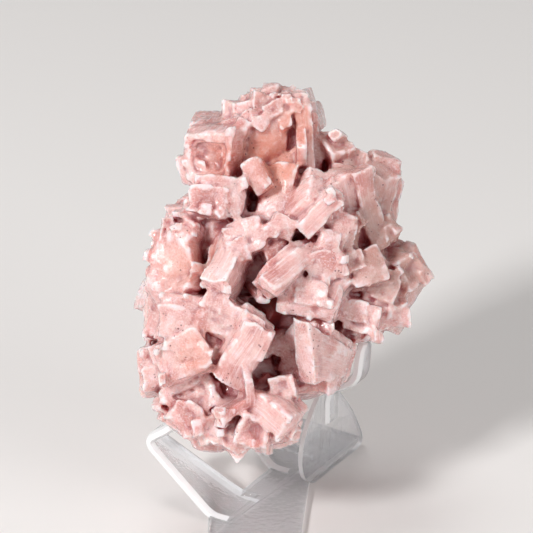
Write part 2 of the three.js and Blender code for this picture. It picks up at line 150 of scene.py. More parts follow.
# blocks of solid salt, which the crystals stand on
massBlocks = [
    crystal("middle mass", (-6, 18, 2), (-9, -8, 1), 34, 32, 4),
    crystal("upper mass", (-4, 16, 27), (-6, -2, 28), 20, 22, -6),
    crystal("right mass", (13, 18, 1), (14, 0, 1), 22, 24, 12),
    crystal("left mass", (-13, 17, -19), (-16, -6, -20), 24, 24, 8),
    crystal("low mass", (-2, 18, -19), (-3, -4, -19), 22, 18, -8),
    crystal("foot mass", (-10, 16, -30), (-12, -5, -32), 18, 11, 12),
    crystal("high right mass", (11, 16, 18), (11, 5, 19), 14, 13, 20),
]

# hollows cut straight in between the crystals
hollows = [
    crystal("middle hollow", (-3.4, -5, -9.6), (-3.4, -30, -9.6), 9, 8, 20),
    crystal("lower hollow", (-4.5, -5, -24.5), (-4.5, -30, -24.5), 7, 7, 0),
    crystal("upper right hollow", (10, 4, 26), (9, -20, 28), 5, 9, -25),
    crystal("knob hollow", (-6, -4, 16), (-6, -20, 15), 5.5, 3, 0),
    crystal("prism hollow", (4, -4, 8.4), (4, -20, 8.4), 3, 2.4, -20),
]

# the crystals of the front, one by one, from the top down
frontCrystals = [
    crystal("crown", (-3.5, 2, 34), (-3.2, 0, 42), 6.4, 8, 12),
    crystal("crown left", (-8.4, 2, 32), (-9, -2, 38.6), 5.4, 7.4, 25),
    crystal("crown slab", (1.5, 0, 33), (2.4, -5, 41), 3.4, 4.6, 8),
    crystal("column", (5, 0, 23), (4.6, -3, 40.6), 4.2, 6, 8, kin=1),
    crystal("column block", (4, -2, 26), (4, -7, 31), 2.6, 6, 0),
    crystal("smooth mass", (-5, 4, 29), (-5.6, -6.5, 29.6), 10, 13, -12),
    crystal("smooth foot", (-1.5, 2, 17), (-1.8, -9, 18), 7, 14, -14),
    crystal("hopper cube", (-14, 1, 30), (-17.6, -11.5, 26.6), 12.4, 12.5, -6, hopper=4, kin=1, steps=1,
            taper=0.88),
    crystal("hopper top", (-14, 2, 31.6), (-15, -7, 33.4), 8.4, 3.6, 14),
    crystal("block below it", (-14, 2, 16.8), (-15.2, -14, 17.6), 11, 8, -10, kin=2, steps=1),
    crystal("left notch", (-19, 0, 14.5), (-21, -9, 15), 4.6, 5, 20, kin=1),
    crystal("knob", (-5.5, -2, 21.5), (-6, -14.5, 22), 4.2, 6.4, 30, kin=1),
    crystal("gap back", (9, 8, 27), (9.2, 2, 31.4), 3.4, 4, 0),
    crystal("rounded", (12, 8, 25), (12.6, 1, 29.6), 5.4, 5.6, 25, kin=1),
    crystal("rounded right", (16.6, 10, 22.5), (16.8, 2, 25.8), 5, 5.6, -15, kin=1),
    crystal("far cuboid", (19.4, 9, 13.4), (23.2, 3, 25), 8.4, 9, 22, steps=1),
    crystal("tall", (16.5, 3, 7), (13, -8, 23), 11, 9, 28, taper=0.8, steps=1),
    crystal("tall right", (19, 5, 6), (18, -4, 20), 5.4, 6, 12, kin=1),
    crystal("striated hopper", (1.8, -5, 11), (9.6, -13.5, 17.8), 8.2, 8, 30, steps=1),
    crystal("white edged", (4.4, -12, 9.4), (12.4, -16.5, 17.6), 4.8, 4.8, 15, hopper=2),
    crystal("centre", (-8, -2, 6.5), (-9, -15.5, 8.5), 8, 9, 15, kin=1, steps=1),
    crystal("centre right", (-1, -2, 8.5), (-0.6, -15, 10), 5.6, 5.6, -25, kin=1, steps=1),
    crystal("shoulder", (11, 0, 8), (13.4, -12, 8.6), 7.4, 7.6, -15, kin=1, steps=1),
    crystal("left peach", (-19.6, 3, 1.6), (-26.6, -12, 1.2), 11.6, 14.4, 9, steps=1, taper=0.88),
    crystal("left peach top", (-19.5, 2, 7), (-25, -11, 8.4), 8, 8, -22, kin=1),
    crystal("left crest", (-25, 2, 4), (-28.6, -7, 4.4), 5, 6, 30, kin=1),
    crystal("striated", (-11.4, -12, 7), (-16, -20, -4), 5.2, 5, 20, steps=1),
    crystal("smooth prism", (6.5, -9, 4.2), (-5.2, -19, -3.2), 5.6, 5.8, 18, steps=1),
    crystal("broad left", (-27, 3, -8.5), (-30.4, -10, -9), 6.4, 11.5, 4, kin=1, steps=1),
    crystal("broad", (-20.6, 2, -9), (-23.4, -17, -11.4), 10.6, 9.6, -10, steps=1, kin=1),
    crystal("broad right", (-13.4, 1, -11), (-14.4, -17.5, -11.6), 8.6, 8.6, -28, steps=1, kin=1),
    crystal("web low", (-9, -6, -2.4), (-4.8, -15, -7.2), 3, 1.7, 0),
    crystal("web high", (-1.6, -6, -3), (-6, -15, -6.2), 1.7, 4, 0),
    crystal("hollow inner", (-7, 2, -12), (-6.4, -7, -11), 3.4, 3.4, 30),
    crystal("long striated", (-13, -11, -25), (-5.4, -18.5, -12.4), 7.6, 7, 12, steps=1),
    crystal("speckled", (5, 0, -5), (3.6, -15, -6.6), 11.4, 7.6, -12, steps=1),
    crystal("slanted prism", (15, -4, -0.5), (9, -14.5, -10), 5.2, 5.6, 10, kin=1),
    crystal("white patch", (10, -2, 1.6), (10.6, -13, 1), 7.4, 6.6, 20, kin=1, steps=1),
    crystal("great", (15.2, -3, -22), (4.6, -16, -19), 6, 2.4, 0, taper=2.35, slope=(-1.45, 0)),
    crystal("great back", (6.4, 4, -19), (7, -6.5, -20), 11, 11.5, -24, steps=1),
    crystal("blade", (-8.4, -11, -31), (-8.2, -18, -23), 1.9, 7, 4),
    crystal("low striated", (-9, -9, -29.4), (2, -18, -36.6), 6.4, 6.2, 25, steps=1),
    crystal("low branch", (-8, -11, -30.4), (-15.6, -15.5, -34), 2.6, 6, -15),
    crystal("low inner", (-5, 0, -27.5), (-4.2, -9, -25.6), 3, 3, 30),
    crystal("low side", (0, -3, -27.4), (-0.6, -14, -27.8), 5.6, 6, 12),
    crystal("left bright rim", (-27, 3, -22.5), (-30, -8, -23.4), 5.6, 9, 8, kin=1, steps=1),
    crystal("left bright", (-21.6, 3, -19.6), (-24, -17, -21), 12, 8.8, 25, steps=1, kin=1),
    crystal("bright side", (-17, 0, -20.6), (-17.4, -14, -21), 5.6, 6.6, 10),
    crystal("deep pink", (-21, 5, -30), (-21.6, -10, -30.4), 12, 7.6, 20, hopper=3, steps=1),
    crystal("low left", (-21.6, 3, -34), (-23, -11.5, -35), 8.6, 6.6, -38, kin=1),
    crystal("low left foot", (-17.8, 2, -36.8), (-18.2, -12.5, -38.2), 6.8, 6.8, 10, kin=1, steps=1),
    crystal("pointed foot", (-11.4, 2, -37.6), (-11.8, -12, -38.8), 7.4, 7.4, 43),
    crystal("foot hopper", (-8, -3, -36.2), (-7.2, -16, -37.6), 7.6, 6, -15, hopper=2.4),
    crystal("foot right", (-1.4, 0, -36.4), (-1.2, -12.5, -38), 5.2, 5.4, 15, kin=1),
    crystal("foot small", (-5, 0, -39), (-5, -9, -40.4), 3.4, 3.4, 30),
    crystal("right middle", (18, 4, 0), (20, -8, 0.6), 8.2, 8.2, 20, kin=1, steps=1),
    crystal("right upper", (18.6, 8, 8), (23.6, -1, 8.6), 6.8, 6.4, 22, kin=1),
    crystal("right corner", (22.6, 9, 1), (30.6, 1, -0.6), 7.2, 7.2, 38, steps=1),
    crystal("right low", (21.6, 8, -7), (25.2, -1, -9.2), 7.4, 8.6, 10, kin=1, steps=1),
    crystal("right inner", (22, 6, -4), (24, -4, -3.6), 6.6, 6.6, -20, kin=1),
    crystal("right foot", (18.6, 5, -10.4), (18.2, -6, -11.4), 9.4, 6, -10, kin=1, steps=1),
    crystal("left heel", (-4, 10, -20), (-5.6, 30.4, -23.4), 11, 9.5, 12, kin=1),
    crystal("right heel", (4, 6, -19), (7.6, 25.4, -20.8), 8, 8.6, 24),
    crystal("finger heel", (18, 4, -8), (18.6, 17, -13.4), 7.4, 4.6, -6),
    crystal("right under", (17.2, 12, -12.4), (17, 0, -15), 5.4, 4.6, 8),
]

# small knobs along the crown and the rims: the middle of each and its size
knobs = [
    (-3.3, 0, 42.2, 4.8),
    (-6, -3, 40, 4.2),
    (-9.6, -2, 38.6, 4),
    (-8, -6, 36.2, 4),
    (-11.8, -4, 35.4, 3),
    (-3, -5.5, 37.4, 4.6),
    (-5.5, -7, 34.4, 3.4),
    (1.8, -4.6, 39, 3.6),
    (4.4, -3, 40.4, 3),
    (0.2, -6, 35, 3.2),
    (-10, -8, 33.6, 3.4),
    (-20, -8, 14.2, 2.8),
    (-30.4, -6, 6.6, 2.8),
    (-28.4, -9, 9.6, 3),
    (-32, -4, -3.4, 2.8),
    (-32.6, -4, -18.4, 2.6),
    (-31.6, -5, -27, 2.8),
    (-28.6, -7, -32, 2.8),
    (-24, -10, -38, 2.6),
    (26.4, 1, 9.6, 3),
    (12.4, 0, 31.2, 2.6),
    (24, 2, -13.4, 3),
]

# rows of crystals on the back: height, and the leftmost and rightmost place in the row
backRows = [
    (37, -7, 2),
    (28, -15, 7),
    (19, -16, 17),
    (10, -17, 18),
    (1, -25, 24),
    (-8, -27, 22),
    (-17, -27, 10),
    (-26, -24, 4),
    (-34, -18, -4),
]


def crystalFrame(spec):
    root = Vector(spec["root"])
    tip = Vector(spec["tip"])
    axis = (tip - root).normalized()
    mostlyAlongY = 0.8
    reference = Vector((0, 0, 1)) if abs(axis.y) > mostlyAlongY else Vector((0, 1, 0))
    side = axis.cross(reference).normalized()
    face = axis.cross(side)
    basis = Matrix((side, face, axis)).transposed().to_4x4()
    turn = Matrix.Rotation(math.radians(spec["roll"]), 4, "Z")
    return Matrix.Translation(root) @ basis @ turn, (tip - root).length


def grownBlocks(spec, draw):
    # one crystal as blocks: itself, its growth steps and its smaller parallel neighbours
    place, length = crystalFrame(spec)
    wide, thick, taper = spec["wide"], spec["thick"], spec.get("taper", 1)
    hopper = spec.get("hopper", 0)

    def spread(most):
        return (draw() - 0.5) * 2 * most

    skew = [spread(growth["unevenness"]) for corner in range(4)]
    freeSlope = [spread(growth["endSlope"]), spread(growth["endSlope"])]
    slope = spec.get("slope", (0, 0) if hopper else freeSlope)
    blocks = [dict(size=(wide, thick, length), at=(0, 0, 0), taper=taper, skew=skew, slope=slope,
                   hopper=hopper)]
    for step in range(spec.get("steps", 0)):
        share = pick(growth["stepShares"], draw())
        rise = growth["stepHeight"] * pick(growth["stepSpread"], draw())
        reach = length - growth["hopperInset"] if hopper else length + rise
        size = (wide * taper * share, thick * taper * share, reach)
        sideways = (wide / 2 + rise - size[0] / 2) * (1 if draw() > 0.5 else -1)
        upward = (thick / 2 + rise - size[1] / 2) * (1 if draw() > 0.5 else -1)
        blocks.append(dict(size=size, at=(sideways, upward, 0), slope=slope))
    for neighbour in range(spec.get("kin", 0)):
        share = pick(growth["kinShares"], draw())
        size = (wide * share, thick * share, length * pick(growth["kinLengths"], draw()))
        angle = 2 * math.pi * draw()
        sideways = math.cos(angle) * wide * (0.5 + growth["kinReach"] - share / 2)
        upward = math.sin(angle) * thick * (0.5 + growth["kinReach"] - share / 2)
        blocks.append(dict(size=size, at=(sideways, upward, length * growth["kinStart"]),
                           slope=(spread(growth["endSlope"]), 0)))
    for block in blocks:
        block["place"] = place
    return blocks


# a knob's shape, as shares of its size; it points outwards more than sideways
knobForm = {
    "outwards": 0.6,
    "root": 0.8,
    "tip": 0.48,
    "thick": (0.8, 1.1),
    "roll": 90,
}


def knobSpecs(draw):
    specs = []
    for x, y, z, size in knobs:
        lean = Vector((draw() - 0.5, -knobForm["outwards"] - draw(), draw() - 0.5)).normalized() * size
        middle = Vector((x, y, z))
        specs.append(dict(root=middle - lean * knobForm["root"], tip=middle + lean * knobForm["tip"],
                          wide=size, thick=size * pick(knobForm["thick"], draw()),
                          roll=knobForm["roll"] * draw()))
    return specs


# the back: a rounded shape, this wide and high from its middle, that its crystals' tips fill
backGrowth = {
    "depth": 21,
    "spacing": 11.5,
    "halfWidth": 46,
    "halfHeight": 56,
    "leastDepth": 0.2,
    "rootDepth": 4,
    "fan": 45,           # how far out a crystal stands for each share that it leans
    "tipFan": 3,
    "rootFan": 6,
    "tipSpread": (2, 4),
    "reachMore": 4,
    "size": (7, 11),
    "thick": (0.75, 1.1),
    "roll": 80,
    "hopper": 2.5,
    "hopperChance": 0.3,
    "kinChance": 0.25,
    "stepChance": 0.25,
}


def backSpecs(draw):
    back = backGrowth
    specs = []
    for height, left, right in backRows:
        count = math.floor((right - left) / back["spacing"] + 0.5) + 1
        for i in range(count):
            x = left + (right - left) * i / max(count - 1, 1)
            outward = (x - (left + right) / 2) / back["fan"]
            fullness = 1 - (x / back["halfWidth"]) ** 2 - (height / back["halfHeight"]) ** 2
            size = pick(back["size"], draw())
            reach = back["depth"] * math.sqrt(max(fullness, back["leastDepth"])) + back["reachMore"] * draw()
            tipX = x + outward * back["tipFan"] + (draw() - 0.5) * back["tipSpread"][0]
            tipZ = height + (draw() - 0.5) * back["tipSpread"][1]
            specs.append(dict(root=(x - outward * back["rootFan"], back["rootDepth"], height),
                              tip=(tipX, reach, tipZ), wide=size, thick=size * pick(back["thick"], draw()),
                              roll=(draw() - 0.5) * back["roll"],
                              hopper=back["hopper"] if draw() < back["hopperChance"] else 0,
                              kin=1 if draw() < back["kinChance"] else 0,
                              steps=1 if draw() < back["stepChance"] else 0))
    return specs


def nearHollow(place, reach):
    # reach is measured across the front, because every hollow runs straight in
    return any(math.hypot(spec["tip"][0] - place[0], spec["tip"][2] - place[2]) < reach for spec in hollows)


# small crystals between the large ones, on a jittered grid over the front, in mm
between = {
    "rows": range(-8, 9),
    "columns": range(-7, 7),
    "spacing": 5.2,
    "size": (3.4, 6.2),
    "thick": (0.7, 1.2),
    "length": 10,
    "slant": 6.3,
    "behindTips": (3.0, 6.5),
    "near": 8.5,
    "fewest": 3,         # large tips that have to stand near
    "oneSided": 0.5,     # they stand all round, and not on one side
    "frontDepth": 2,
    "hollowReach": 7.0,
}


def betweenSpecs(draw):
    tips = [Vector(spec["tip"]) for spec in frontCrystals if spec["tip"][1] < between["frontDepth"]]
    specs = []
    for row in between["rows"]:
        for column in between["columns"]:
            x = (column + draw() - 0.5) * between["spacing"]
            z = (row + draw() - 0.5) * between["spacing"]
            deeper, size, tall, roll = draw(), draw(), draw(), draw()
            slant = Vector((draw() - 0.5, 0, draw() - 0.5)) * between["slant"]
            ways = [(Vector((tip.x - x, tip.z - z)), tip.y) for tip in tips]
            around = [(way, depth) for way, depth in ways if way.length < between["near"]]
            if len(around) < between["fewest"] or nearHollow((x, 0, z), between["hollowReach"]):
                continue
            towards = sum((way.normalized() for way, depth in around), Vector((0, 0))) / len(around)
            if towards.length > between["oneSided"]:
                continue
            y = sum(depth for way, depth in around) / len(around) + pick(between["behindTips"], deeper)
            wide = pick(between["size"], size)
            tip = Vector((x, y, z))
            specs.append(dict(root=tip + Vector((0, between["length"], 0)) - slant, tip=tip, wide=wide,
                              thick=wide * pick(between["thick"], tall), roll=180 * roll))
    return specs


# rough grains that crust the crystals' edges, in mm: how many a crystal has, by where its tip lies
grains = {
    "seed": 23,
    "seedStep": 11,
    "size": (1.2, 2.7),
    "thick": 0.9,
    "cuts": 3,
    "usual": 2,
    "onSides": 0.5,
    "onEnd": 0.6,
    "alongEdge": (0.5, 1),
    "hollowReach": 7.5,
    "bare": ("smooth mass", "smooth foot", "column", "column block", "great", "smooth prism"),
    "patches": [         # middle across and up, radius, and how many
        ((-3, 38), 9, 16),
        ((-27, 6), 9, 14),
        ((-15, 17), 8, 10),
        ((-6, 11), 9, 9),
        ((-28, -12), 12, 8),
        ((-20, -34), 9, 8),
    ],
}


def grainBlocks(crystals):
    # small tilted cubes along each crystal's end rim and down its long edges
    draw = seeded(grains["seed"])
    blocks = []
    for crystal, spec in crystals:
        tip = spec["tip"]
        if spec["name"] in grains["bare"] or nearHollow(tip, grains["hollowReach"]):
            continue
        count = grains["usual"]
        for middle, reach, most in grains["patches"]:
            if math.hypot(tip[0] - middle[0], tip[2] - middle[1]) < reach:
                count = max(count, most)
        wide, thick, long = crystal["size"]
        for grain in range(count):
            along, across, upward = draw(), 2 * draw() - 1, 2 * draw() - 1
            if draw() < grains["onSides"]:
                across = math.copysign(1, across)
            else:
                upward = math.copysign(1, upward)
            depth = long * (1 if draw() < grains["onEnd"] else pick(grains["alongEdge"], along))
            size = pick(grains["size"], draw() ** 2)
            spot = crystal["place"] @ Vector((across * wide / 2, upward * thick / 2, depth))
            turn = Matrix.Rotation(math.pi * draw(), 4, "X") @ Matrix.Rotation(math.pi * draw(), 4, "Z")
            place = Matrix.Translation(spot) @ turn @ Matrix.Translation((0, 0, -size / 2))
            blocks.append(dict(size=(size, size * grains["thick"], size), at=(0, 0, 0), place=place,
                               role="grain", seed=crystal["seed"] + grains["seedStep"] * grain))
    return blocks


# the lower, wider growth that fills the room round each crystal, in mm
skirt = {
    "wider": 2.8,
    "deeper": 5.6,
    "taper": 0.9,
    "hollowReach": 8.5,
    "spacing": (0.8, 1.2),
    "seedStep": 3,
}


def skirtOf(block):
    # the same crystal, wider and set deeper, so that it closes the gaps beside it
    wide, thick, long = block["size"]
    place = Matrix.Translation((0, skirt["deeper"], 0)) @ block["place"]
    return dict(block, size=(wide + skirt["wider"], thick + skirt["wider"], long), place=place, hopper=0,
                taper=block["taper"] * skirt["taper"], spacing=skirt["spacing"],
                seed=block["seed"] + skirt["seedStep"])


# the whole cluster: each kind of block's mesh size across and along it, and the grown skin, in mm
cluster = {
    "seed": 7,
    "massSpacing": (3, 3),
    "hollowSpacing": (1.5, 3),
    "frontSpacing": (0.5, 0.95),
    "backSpacing": (0.85, 1.5),
    "voxel": 0.45,
    "triangles": 194000,
    "smoothAngle": 38,
    "firstSeed": 101,
    "seedStep": 7,
}


def growPlan():
    # every block of the cluster, in the order that its random numbers are drawn
    draw = seeded(cluster["seed"])
    front = cluster["frontSpacing"]
    plan, skirts, mains = [], [], []
    for specs, spacing, role in ((massBlocks, cluster["massSpacing"], "mass"),
                                 (hollows, cluster["hollowSpacing"], "hollow"),
                                 (frontCrystals, front, "grown"), (knobSpecs, front, "grown"),
                                 (backSpecs, cluster["backSpacing"], "grown"),
                                 (betweenSpecs, front, "grown")):
        for spec in specs(draw) if callable(specs) else specs:
            blocks = grownBlocks(spec, draw)
            for block in blocks:
                seed = cluster["firstSeed"] + cluster["seedStep"] * len(plan)
                block.update(spacing=spacing, role=role, seed=seed)
                plan.append(block)
            if specs is frontCrystals and not nearHollow(spec["tip"], skirt["hollowReach"]):
                skirts.append(skirtOf(blocks[0]))
            if specs is frontCrystals:
                mains.append((blocks[0], spec))
    return plan + skirts + grainBlocks(mains)


def finedCube(cutsEachWay):
    # a primitive cube, cut into a fine grid by its edges' directions
    tolerance = 1e-4
    bpy.ops.mesh.primitive_cube_add(size=2, calc_uvs=False)
    piece = bpy.context.object
    bpy.ops.object.mode_set(mode="EDIT")
    for axis, cuts in enumerate(cutsEachWay):
        edit = bmesh.from_edit_mesh(piece.data)
        for edge in edit.edges:
            run = edge.verts[0].co - edge.verts[1].co
            edge.select_set(abs(run[axis]) > tolerance and run.length - abs(run[axis]) < tolerance)
        bmesh.update_edit_mesh(piece.data)
        bpy.ops.mesh.subdivide(number_cuts=cuts)
    bpy.ops.object.mode_set(mode="OBJECT")
    return piece


def growBlock(block):
    across, along = block["spacing"]
    piece = finedCube([max(int(round(size / step)) - 1, 1)
                       for size, step in zip(block["size"], (across, across, along))])
    shapeBlock(piece, block)
    return piece


def copyGrain(template, block):
    piece = bpy.data.objects.new("grain", template.data.copy())
    shapeBlock(piece, block)
    return piece


def shapeBlock(piece, block):
    # the cube takes its crystal's form, relief and place
    unit = np.clip(readVectors(piece.data.vertices, "co"), -1, 1)
    placed = blockForm(block, unit)
    placed = placed - crystalRelief(block, unit, placed)
    matrix = np.array(clusterMatrix @ block["place"])
    world = placed @ matrix[:3, :3].T + matrix[:3, 3]
    piece.data.vertices.foreach_set("co", (world * mm).ravel())
    piece.data.update()


# what sets one use of a crystal's own chance apart from another
chances = {
    "broken": (5, 0, 13),
    "brokenTurn": (5, 1, 13),
    "brokenSteep": (5, 2, 13),
    "endKind": (1, 2, 7),
    "tint": (3, 5, 11),
}


def ownChance(block, use):
    # a crystal's repeatable value from 0 to 1
    row, column, seed = chances[use]
    return cellNoise(np.array([[block["seed"], row, column]]), seed)[0]


# an end's corner that is broken off on a slant: on what share of the crystals, and from how far out
broken = {
    "share": 0.55,
    "slope": (0.45, 1.15),
    "from": 0.12,
    "leastWide": 2.8,
}


def blockForm(block, unit):
    wide, thick, long = block["size"]
    skew = block.get("skew", (0, 0, 0, 0))
    slope = block.get("slope", (0, 0))
    right, top, tip = (unit.T + 1) / 2
    across = unit[:, 0] * wide / 2 * (1 + skew[0] * top + skew[1] * (1 - top))
    upward = unit[:, 1] * thick / 2 * (1 + skew[2] * right + skew[3] * (1 - right))
    narrowing = 1 + (block.get("taper", 1) - 1) * tip
    rise = long * tip + tip * (slope[0] * across + slope[1] * upward)
    isPlain = not block.get("hopper") and min(wide, thick) > broken["leastWide"]
    if isPlain and ownChance(block, "broken") < broken["share"]:
        angle = 2 * math.pi * ownChance(block, "brokenTurn")
        slant = pick(broken["slope"], ownChance(block, "brokenSteep"))
        way = across * math.cos(angle) + upward * math.sin(angle)
        rise = np.minimum(rise, long - slant * (way - broken["from"] * (wide + thick) / 2))
    form = np.stack((across * narrowing, upward * narrowing, rise), axis=1)
    return form + np.array(block["at"])


# the relief of a crystal's faces, in mm
relief = {
    "onFace": 0.999,
    "calmUnder": 6,      # crystals thinner than this have less relief
    "waveSize": 5.0,
    "waveDepth": 0.35,
    "crustSize": 1.1,
    "crustDepth": 0.16,
    "edgeReach": 0.9,
    "edgeRound": 0.12,
    "chipReach": 2.2,
    "chipSize": 1.7,
    "chipDepth": 0.65,
    "chipFrom": (0.5, 0.8),
    "striaWide": 0.75,
    "striaLong": 7.0,
    "striaDepth": 0.34,
    "striaLevels": 4,
    "striaFine": 0.3,
    "swell": 0.75,       # how far all of it stands out, so that neighbours grow together
}

# the relief of a crystal's end: rings that step in or out, or a rough face; shares are of all ends
endRelief = {
    "rings": 6,
    "waver": 0.12,
    "waverSize": 2.2,
    "hopperDepth": 0.9,
    "hopperRings": (0.08, 0.63),
    "sunkUpTo": 0.45,
    "sunkDepth": 1.12,
    "sunkRings": (0, 0.7),
    "domedUpTo": 0.75,
    "domedDepth": 0.7,
    "domedRings": (0, 0.9),
    "roughDepth": 0.42,
    "roughSize": 1.6,
    "waveShare": 0.6,
    "leastCalm": 0.5,
}


def crystalRelief(block, unit, placed):
    # how deep each point sinks under its crystal's flat faces
    wide, thick, long = block["size"]
    seed = block["seed"]
    calm = min(1, min(wide, thick) / relief["calmUnder"])
    gap = np.stack(((1 - np.abs(unit[:, 0])) * wide / 2, (1 - np.abs(unit[:, 1])) * thick / 2,
                    (1 - unit[:, 2]) / 2 * long), axis=1)
    edgeGap = np.sort(gap, axis=1)[:, 1]
    wave = relief["waveDepth"] * softNoise(placed, relief["waveSize"], seed)
    crust = relief["crustDepth"] * softNoise(placed, relief["crustSize"], seed + 1)
    chips = smoothStep(*relief["chipFrom"], softNoise(placed, relief["chipSize"], seed + 2))
    chips = chips * (1 - smoothStep(0, relief["chipReach"], edgeGap))
    rounding = relief["edgeRound"] * (1 - smoothStep(0, relief["edgeReach"], edgeGap))
    worn = rounding + relief["chipDepth"] * chips
    depth = np.zeros_like(placed)
    striaSize = np.array((relief["striaWide"], relief["striaWide"], relief["striaLong"]))
    for axis in (0, 1):
        flat = placed.copy()
        flat[:, axis] = 0
        lines = softNoise(flat, striaSize, seed + 3 + axis)
        fine = softNoise(flat, striaSize / 2, seed + 5 + axis)
        lines = np.round(lines * relief["striaLevels"]) / relief["striaLevels"]
        ridges = lines * (1 - relief["striaFine"]) + fine * relief["striaFine"]
        sunk = relief["striaDepth"] * (1 - ridges) + wave + crust + worn - relief["swell"]
        onFace = np.abs(unit[:, axis]) > relief["onFace"]
        depth[:, axis] = np.where(onFace, np.sign(unit[:, axis]) * sunk * calm, 0)
    sunk = endDepth(block, unit, placed) + wave * endRelief["waveShare"] + crust + worn - relief["swell"]
    depth[:, 2] = np.where(unit[:, 2] > relief["onFace"], sunk * max(calm, endRelief["leastCalm"]), 0)
    return depth


def endDepth(block, unit, placed):
    square = np.max(np.abs(unit[:, :2]), axis=1)
    waver = endRelief["waver"] * (softNoise(placed, endRelief["waverSize"], block["seed"] + 8) - 0.5)
    level = np.floor((1 - square + waver) * endRelief["rings"]) / endRelief["rings"]
    kind = ownChance(block, "endKind")
    if block.get("hopper"):
        return block["hopper"] * endRelief["hopperDepth"] * smoothStep(*endRelief["hopperRings"], level)
    if kind < endRelief["sunkUpTo"]:
        return endRelief["sunkDepth"] * smoothStep(*endRelief["sunkRings"], level)
    if kind < endRelief["domedUpTo"]:
        return endRelief["domedDepth"] * (1 - smoothStep(*endRelief["domedRings"], level))
    return endRelief["roughDepth"] * softNoise(placed, endRelief["roughSize"], block["seed"] + 9)


def joinPieces(base, pieces, operation="UNION"):
    # one closed solid from many, by a boolean over a collection
    group = bpy.data.collections.new("toJoin")
    for piece in pieces:
        group.objects.link(piece)
    applyStep(base, "BOOLEAN", dict(operation=operation, operand_type="COLLECTION", collection=group,
                                    solver="MANIFOLD"))
    for piece in pieces:
        bpy.data.objects.remove(piece, do_unlink=True)
    bpy.data.collections.remove(group)
    return base


def grownCluster(plan):
    made = {"mass": [], "hollow": [], "grown": [], "grain": []}
    template = finedCube([grains["cuts"]] * 3)
    for block in plan:
        if block["role"] == "grain":
            made["grain"].append(copyGrain(template, block))
            continue
        piece = growBlock(block)
        made[block["role"]].append(piece)
        if block["role"] == "grown":
            for group in piece.users_collection:
                group.objects.unlink(piece)      # kept aside, which keeps the work quick
    bpy.data.objects.remove(template, do_unlink=True)
    print("blocks shaped:", len(plan))
    whole = joinPieces(made["mass"][0], made["mass"][1:])
    whole = joinPieces(whole, made["hollow"], "DIFFERENCE")
    bpy.ops.object.select_all(action="DESELECT")
    for piece in made["grown"] + made["grain"]:
        bpy.context.scene.collection.objects.link(piece)
        piece.select_set(True)
    whole.select_set(True)
    bpy.context.view_layer.objects.active = whole
    bpy.ops.object.join()
    applyStep(whole, "REMESH", dict(mode="VOXEL", voxel_size=cluster["voxel"] * mm))
    keepLargestShell(whole)
    applyStep(whole, "DECIMATE", dict(ratio=cluster["triangles"] / (2 * len(whole.data.polygons))))
    print("halite grown:", len(plan), "blocks,", len(whole.data.polygons), "faces")
    return whole


def keepLargestShell(piece):
    bpy.ops.object.mode_set(mode="EDIT")
    bpy.ops.mesh.select_all(action="DESELECT")
    mesh = bmesh.from_edit_mesh(piece.data)
    left = set(mesh.verts)
    shells = []
    while left:
        shell = [left.pop()]
        for vert in shell:
            for edge in vert.link_edges:
                other = edge.other_vert(vert)
                if other in left:
                    left.remove(other)
                    shell.append(other)
        shells.append(shell)
    shells.sort(key=len)
    for vert in [vert for shell in shells[:-1] for vert in shell]:
        vert.select_set(True)
    bmesh.update_edit_mesh(piece.data)
    bpy.ops.mesh.delete(type="VERT")
    bpy.ops.object.mode_set(mode="OBJECT")


# how each face of the grown skin finds its crystal, and how far apart the crystals' patterns lie, in mm
owners = {
    "farthest": 1e9,
    "meanSwell": 0.5,
    "rootReach": 3,
    "patternPlaces": 97,
    "patternStep": 13.7,
}


def mapCrystals(piece, plan):
    # gives each face the block it belongs to, and its corners their place in that block
    data = piece.data
    corners = readVectors(data.vertices, "co") / mm
    centres = readVectors(data.polygons, "center") / mm
    loopVerts = np.empty(len(data.loops), dtype=np.int64)
    data.loops.foreach_get("vertex_index", loopVerts)
    loopTotals = np.empty(len(data.polygons), dtype=np.int64)
    data.polygons.foreach_get("loop_total", loopTotals)

    best = np.full(len(centres), owners["farthest"])
    owner = np.zeros(len(centres), dtype=np.int64)
    for i, block in enumerate(plan):
        if block["role"] == "hollow":
            continue
        gaps = blockGaps(block, intoBlock(block, centres))
        off = np.abs(owners["meanSwell"] - np.min(gaps, axis=1))
        closer = off < best
        best[closer] = off[closer]
        owner[closer] = i
    grain = np.zeros((len(loopVerts), 3))
    ownTint = np.zeros(len(loopVerts))
    loopOwner = np.repeat(owner, loopTotals)
    for i, block in enumerate(plan):
        mine = loopOwner == i
        if mine.any():
            shift = block["seed"] % owners["patternPlaces"] * owners["patternStep"]
            grain[mine] = intoBlock(block, corners[loopVerts[mine]]) + shift
            ownTint[mine] = ownChance(block, "tint")
    paint(piece, "grain", "CORNER", grain)
    paint(piece, "ownTint", "CORNER", ownTint)


def intoBlock(block, points):
    matrix = np.array((clusterMatrix @ block["place"]).inverted())
    return points @ matrix[:3, :3].T + matrix[:3, 3] - np.array(block["at"])


def blockGaps(block, local):
    # how far each point lies inside the block's sides and its end
    wide, thick, long = block["size"]
    narrowing = 1 + (block.get("taper", 1) - 1) * np.clip(local[:, 2] / long, 0, 1)
    slope = block.get("slope", (0, 0))
    end = long + slope[0] * local[:, 0] + slope[1] * local[:, 1]
    return np.stack((wide / 2 * narrowing - np.abs(local[:, 0]),
                     thick / 2 * narrowing - np.abs(local[:, 1]),
                     np.minimum(end - local[:, 2], local[:, 2] + owners["rootReach"])), axis=1)


# slow bends over the whole cluster, in mm, so that no face stays quite flat; the left side has more
bends = {
    "seed": 31,
    "sizes": (8.0, 3.0),
    "depths": (0.9, 0.16),
    "more": 0.8,
    "moreFrom": -6,
    "mostFrom": -20,
}


